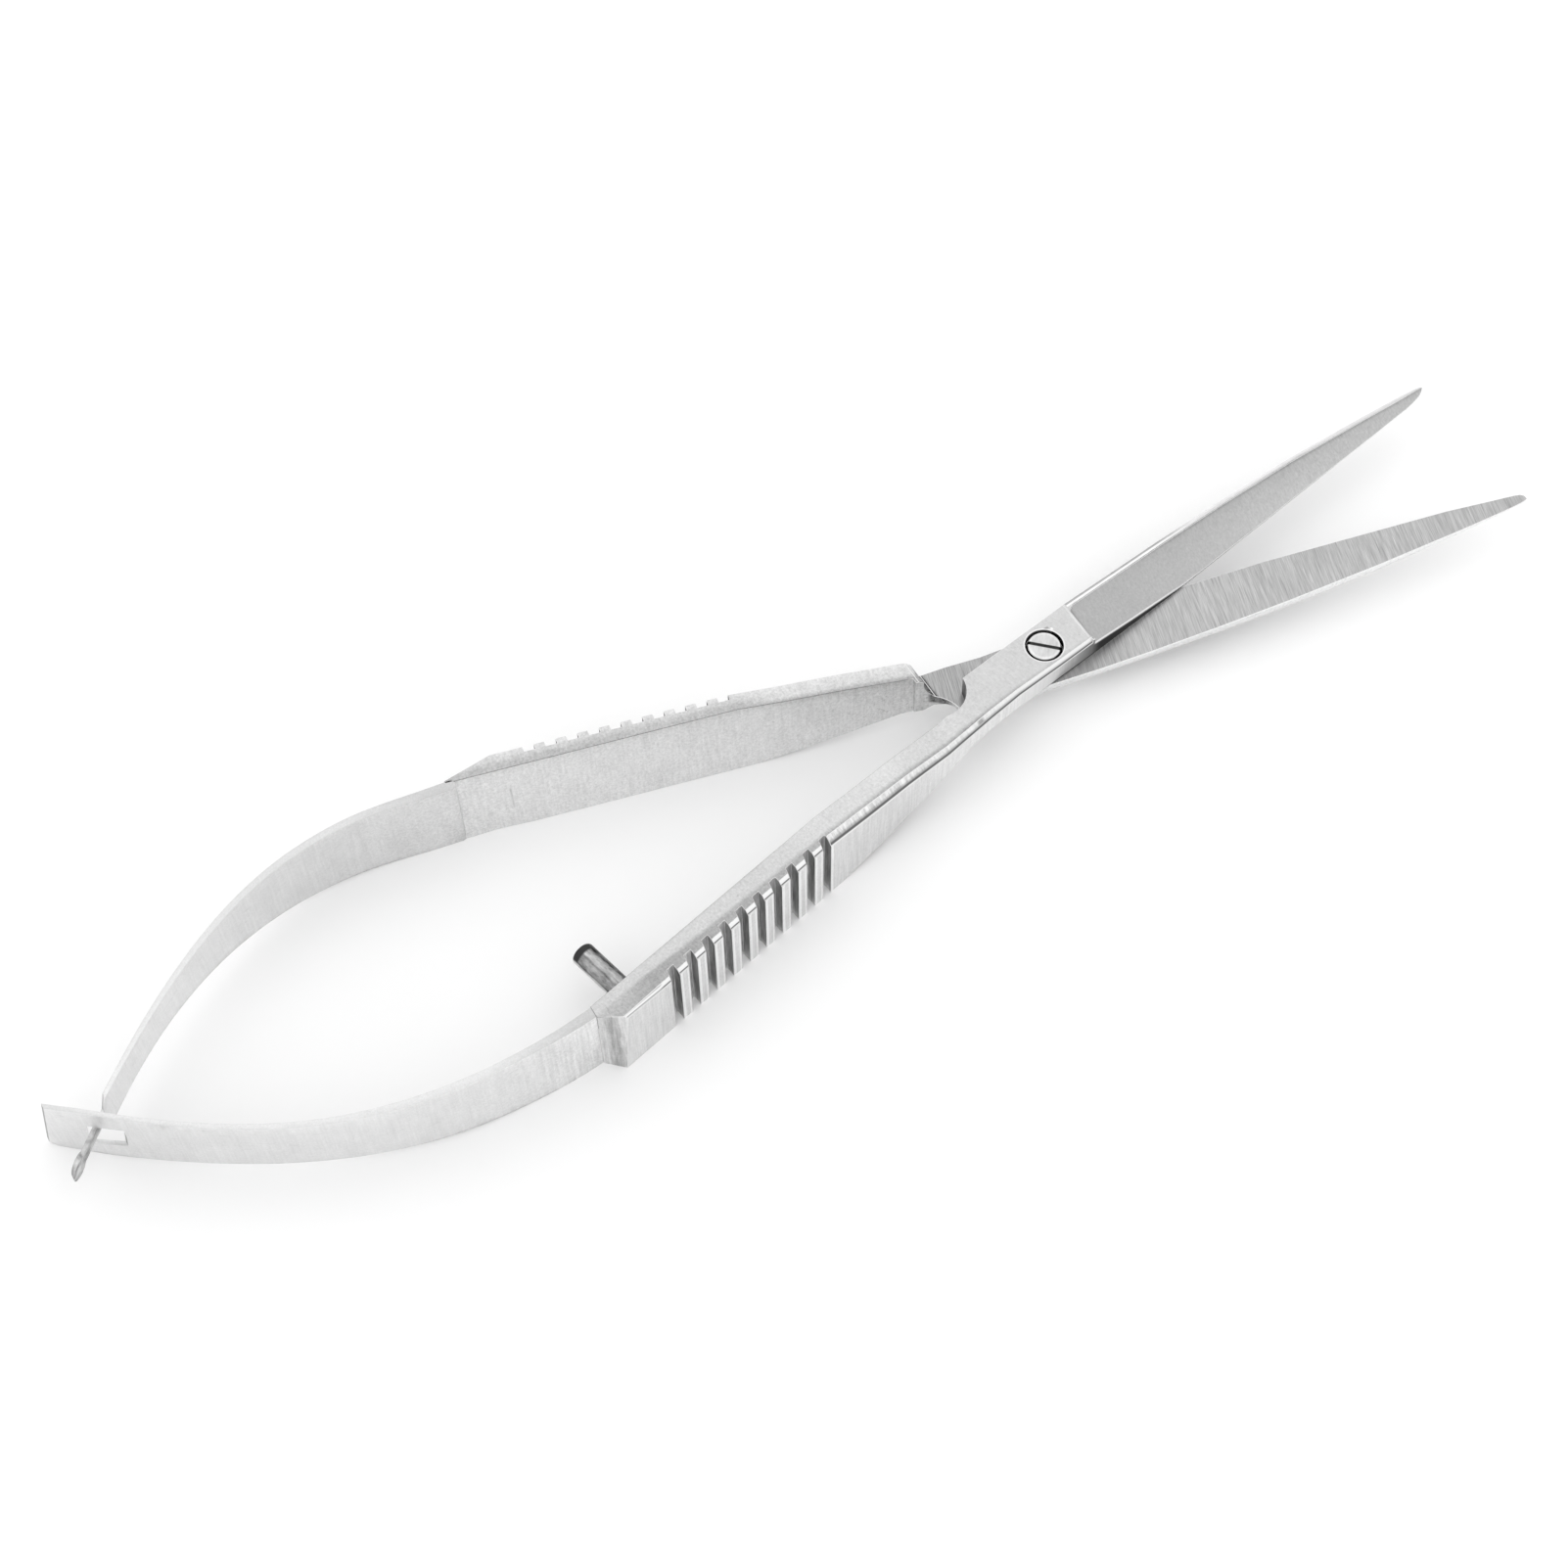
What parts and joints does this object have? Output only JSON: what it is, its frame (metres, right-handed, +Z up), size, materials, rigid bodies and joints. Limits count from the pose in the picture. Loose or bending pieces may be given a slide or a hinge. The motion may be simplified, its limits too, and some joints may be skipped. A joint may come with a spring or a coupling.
{
  "type": "thread snips",
  "caption": "Spring-handle thread snips: crossed steel levers with pointed blades turn on a slotted screw, are held open by crossed leaf springs and stopped by a pin.",
  "frame": {"origin": "centre of the bounding box in plan, on the surface the snips lie on", "axes": "+X from the crossed spring tails to the blade tips, +Y to the left seen from above, +Z up out of the screw's slotted head"},
  "size_m": [0.155, 0.0312, 0.009],
  "materials": {
    "forged_steel": "satin stainless steel, finely brushed across the bars, cross-ground matte blades",
    "spring_steel": "satin stainless strip, faintly brushed across its width",
    "screw_steel": "turned steel, bright rim",
    "pin_steel": "darker drawn steel rod with lengthwise streaks"
  },
  "bodies": {
    "upper": {"upper_lever": "forged_steel", "stop_pin": "pin_steel"},
    "lower": {"lower_lever": "forged_steel", "pivot_screw": "screw_steel"},
    "upper_spring": {"upper_leaf_spring": "spring_steel"},
    "lower_spring": {"lower_leaf_spring": "spring_steel"}
  },
  "joints": [
    {"name": "squeeze", "type": "hinge", "parent": "upper", "child": "lower", "pos_m": [0.02438, -0.00004, 0.0045], "axis": [0, 0, 1], "range_deg": [0, 18.4], "stiffness_Nm_per_rad": 0.5},
    {"name": "upper_spring_bend", "type": "hinge", "parent": "upper", "child": "upper_spring", "pos_m": [-0.03243, -0.01359, 0.0045], "axis": [0, 0, 1], "range_deg": [0, 21.8]},
    {"name": "lower_spring_bend", "type": "hinge", "parent": "lower", "child": "lower_spring", "pos_m": [-0.03302, 0.01391, 0.0045], "axis": [0, 0, 1], "range_deg": [-21.8, 0]}
  ],
  "couplings": [
    {"joint": "upper_spring_bend", "follows": "squeeze", "ratio": 1.18},
    {"joint": "lower_spring_bend", "follows": "squeeze", "ratio": -1.18}
  ]
}
